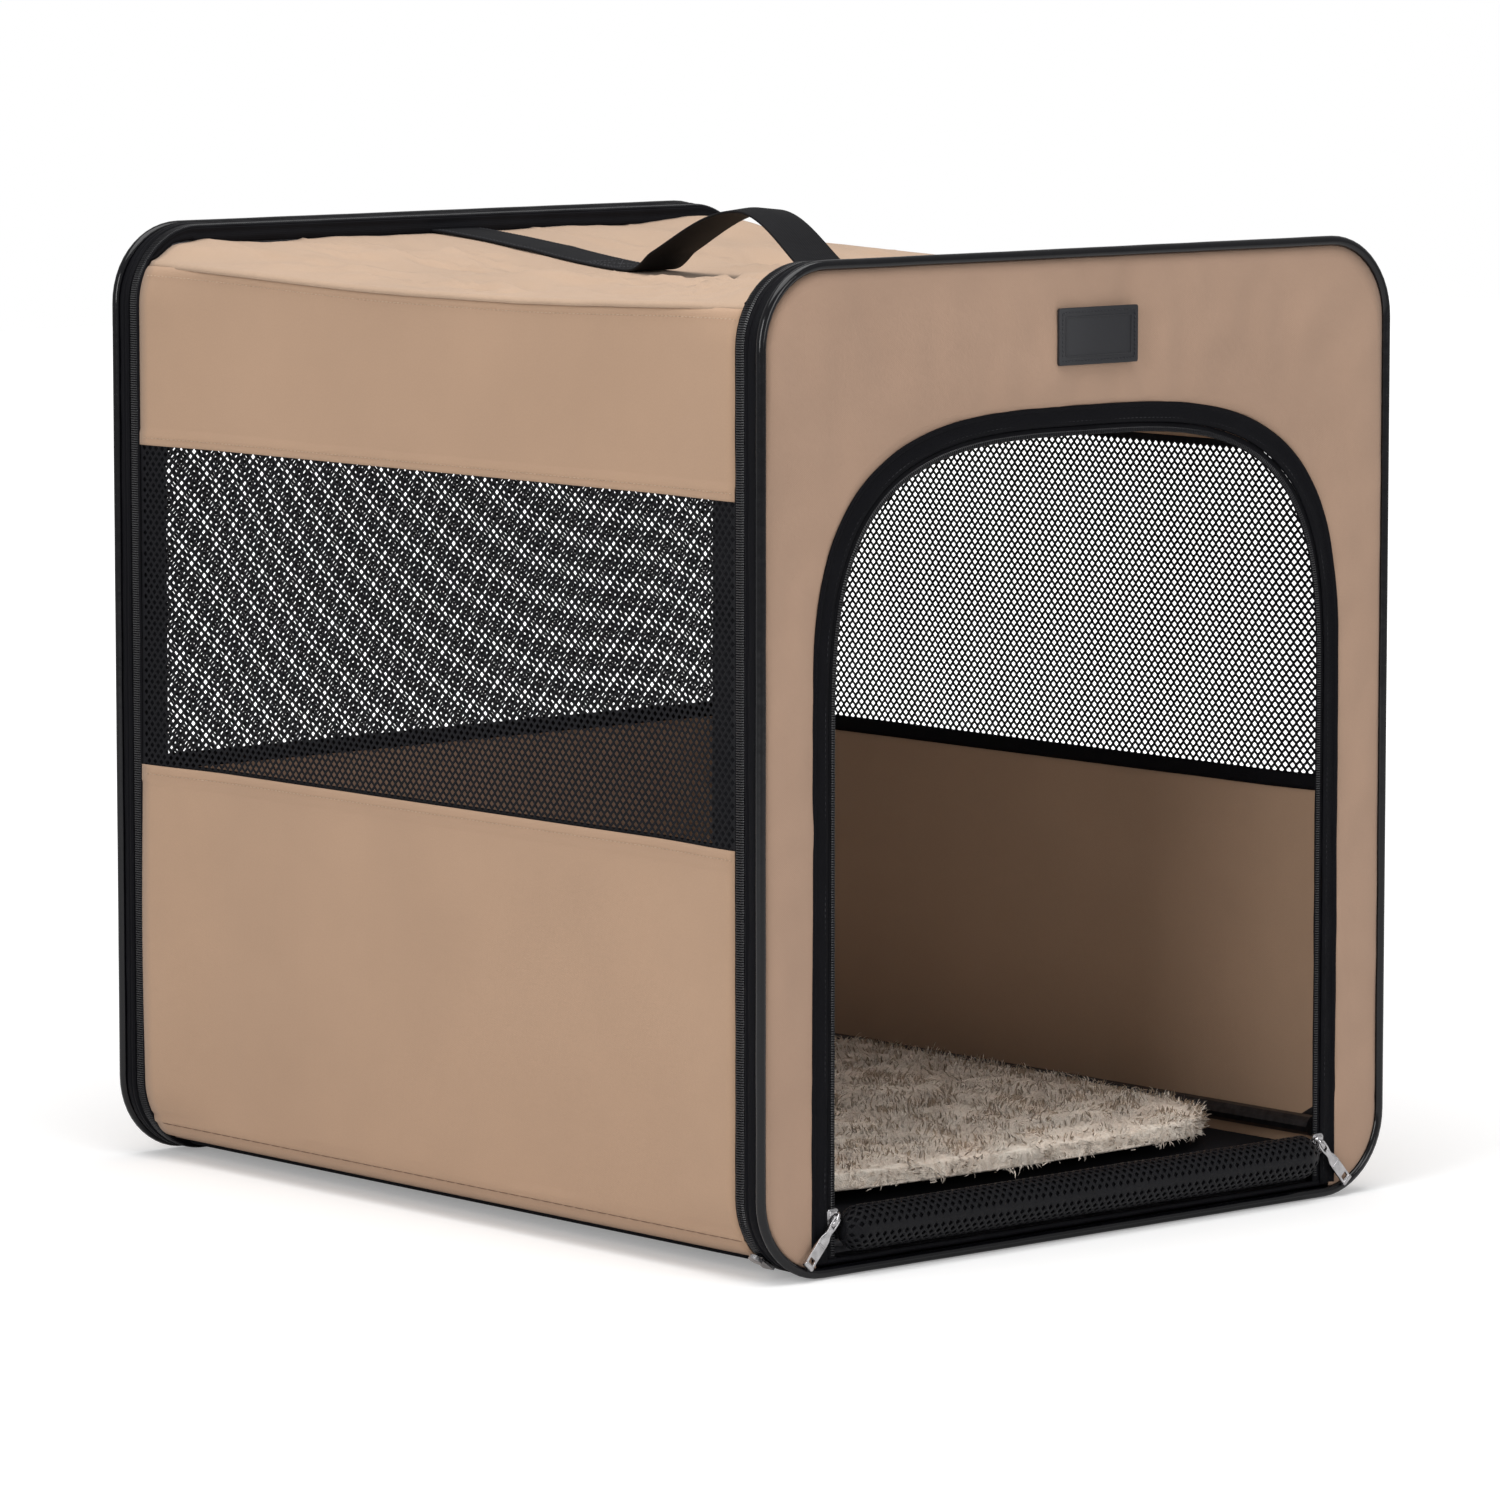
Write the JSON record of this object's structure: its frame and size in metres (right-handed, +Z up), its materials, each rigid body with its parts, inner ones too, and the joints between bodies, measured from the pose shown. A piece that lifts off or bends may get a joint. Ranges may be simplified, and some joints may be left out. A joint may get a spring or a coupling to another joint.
{
  "type": "soft folding dog crate",
  "caption": "Soft-sided folding pet crate: cloth cabin with mesh windows on a steel frame, arched zip doorway, fleece mat and top carrying strap.",
  "frame": {"origin": "on the floor, under the middle of the cabin", "axes": "+Z up; +Y from the doorway to the rear; +X to the right for someone who looks in at the doorway"},
  "size_m": [0.508, 0.6201, 0.5948],
  "materials": {
    "tan_cloth": "matt coated woven cloth",
    "black_cloth": "matt woven cloth and zip tape",
    "black_piping": "smooth glossy piping",
    "black_mesh": "open knitted mesh",
    "fleece": "short plush pile",
    "frame_steel": "satin coated steel tube",
    "elbow_plastic": "moulded nylon",
    "slider_metal": "gunmetal plated zinc",
    "webbing": "ribbed webbing"
  },
  "bodies": {
    "base": {"base_rail_left": "frame_steel", "base_rail_right": "frame_steel", "floor_pad": "black_cloth", "fleece_mat": "fleece", "left_wall_lower": "tan_cloth", "left_window": "black_mesh", "left_wall_upper": "tan_cloth", "right_wall_lower": "tan_cloth", "right_window": "black_mesh", "right_wall_upper": "tan_cloth"},
    "front_lower": {"front_frame_lower": "frame_steel", "front_knee_fork_left": "elbow_plastic", "front_knee_fork_right": "elbow_plastic", "front_piping_lower": "black_piping", "front_gusset_lower": "black_cloth", "front_zipper_lower": "black_cloth", "front_panel_lower": "tan_cloth", "door_binding_lower": "black_cloth", "door_zipper_left": "black_cloth", "door_zipper_right": "black_cloth", "front_knee_pin_left": "frame_steel", "front_knee_pin_right": "frame_steel", "door_roll": "black_mesh"},
    "front_upper": {"front_frame_upper": "frame_steel", "front_knee_tongue_left": "elbow_plastic", "front_knee_tongue_right": "elbow_plastic", "front_piping_upper": "black_piping", "front_gusset_upper": "black_cloth", "front_zipper_upper": "black_cloth", "front_panel_upper": "tan_cloth", "door_binding_upper": "black_cloth", "door_zipper_arch": "black_cloth", "label_patch": "black_cloth"},
    "rear_lower": {"rear_frame_lower": "frame_steel", "rear_knee_fork_left": "elbow_plastic", "rear_knee_fork_right": "elbow_plastic", "rear_piping_lower": "black_piping", "rear_gusset_lower": "black_cloth", "rear_zipper_lower": "black_cloth", "rear_panel_lower": "tan_cloth", "rear_window_lower": "black_mesh", "rear_knee_pin_left": "frame_steel", "rear_knee_pin_right": "frame_steel"},
    "rear_upper": {"rear_frame_upper": "frame_steel", "rear_knee_tongue_left": "elbow_plastic", "rear_knee_tongue_right": "elbow_plastic", "rear_piping_upper": "black_piping", "rear_gusset_upper": "black_cloth", "rear_zipper_upper": "black_cloth", "rear_panel_upper": "tan_cloth", "rear_window_upper": "black_mesh"},
    "top": {"top_rail_left": "frame_steel", "top_rail_right": "frame_steel", "top_panel": "tan_cloth", "handle_strap": "webbing"},
    "door_slider_left": {"door_slider_left": "slider_metal"},
    "door_slider_right": {"door_slider_right": "slider_metal"},
    "door_pull_left": {"door_pull_left": "slider_metal"},
    "door_pull_right": {"door_pull_right": "slider_metal"},
    "cover_slider": {"cover_slider": "slider_metal"}
  },
  "joints": [
    {"name": "fold", "type": "hinge", "parent": "base", "child": "front_lower", "pos_m": [0, -0.28875, 0.055], "axis": [-1, 0, 0], "range_deg": [0, 86], "deforming": ["left_wall_lower", "left_window", "left_wall_upper", "right_wall_lower", "right_window", "right_wall_upper"]},
    {"name": "knee_front", "type": "hinge", "parent": "front_lower", "child": "front_upper", "pos_m": [0, -0.29675, 0.29225], "axis": [-1, 0, 0], "range_deg": [-172, 0], "deforming": ["front_piping_lower", "front_gusset_lower", "front_zipper_lower", "front_panel_lower", "door_binding_lower", "door_zipper_left", "door_zipper_right", "front_piping_upper", "front_gusset_upper", "front_zipper_upper", "front_panel_upper", "door_binding_upper", "door_zipper_arch"]},
    {"name": "top_hinge", "type": "hinge", "parent": "front_upper", "child": "top", "pos_m": [0, -0.28875, 0.5295], "axis": [-1, 0, 0], "range_deg": [0, 86]},
    {"name": "rear_fold", "type": "hinge", "parent": "base", "child": "rear_lower", "pos_m": [0, 0.28875, 0.055], "axis": [-1, 0, 0], "range_deg": [-86, 0]},
    {"name": "knee_rear", "type": "hinge", "parent": "rear_lower", "child": "rear_upper", "pos_m": [0, 0.29675, 0.29225], "axis": [-1, 0, 0], "range_deg": [0, 172], "deforming": ["rear_piping_lower", "rear_gusset_lower", "rear_zipper_lower", "rear_panel_lower", "rear_window_lower", "rear_piping_upper", "rear_gusset_upper", "rear_zipper_upper", "rear_panel_upper", "rear_window_upper"]},
    {"name": "door_slide_left", "type": "slide", "parent": "front_lower", "child": "door_slider_left", "axis": [0, 0, 1], "range_m": [0, 0.236]},
    {"name": "door_pull_swing_left", "type": "hinge", "parent": "door_slider_left", "child": "door_pull_left", "pos_m": [-0.19745, -0.30675, 0.034], "axis": [-0.7431, 0, 0.6691], "range_deg": [0, 150]},
    {"name": "door_slide_right", "type": "slide", "parent": "front_lower", "child": "door_slider_right", "axis": [0, 0, 1], "range_m": [0, 0.236]},
    {"name": "door_pull_swing_right", "type": "hinge", "parent": "door_slider_right", "child": "door_pull_right", "pos_m": [0.19745, -0.30675, 0.034], "axis": [-0.7431, 0, -0.6691], "range_deg": [0, 150]},
    {"name": "cover_slide", "type": "hinge", "parent": "front_lower", "child": "cover_slider", "pos_m": [-0.204, -0.2846, 0.0505], "axis": [0, 1, 0], "range_deg": [0, 50]}
  ],
  "couplings": [
    {"joint": "knee_front", "follows": "fold", "ratio": -2},
    {"joint": "top_hinge", "follows": "fold", "ratio": 1},
    {"joint": "rear_fold", "follows": "fold", "ratio": -1},
    {"joint": "knee_rear", "follows": "fold", "ratio": 2}
  ]
}
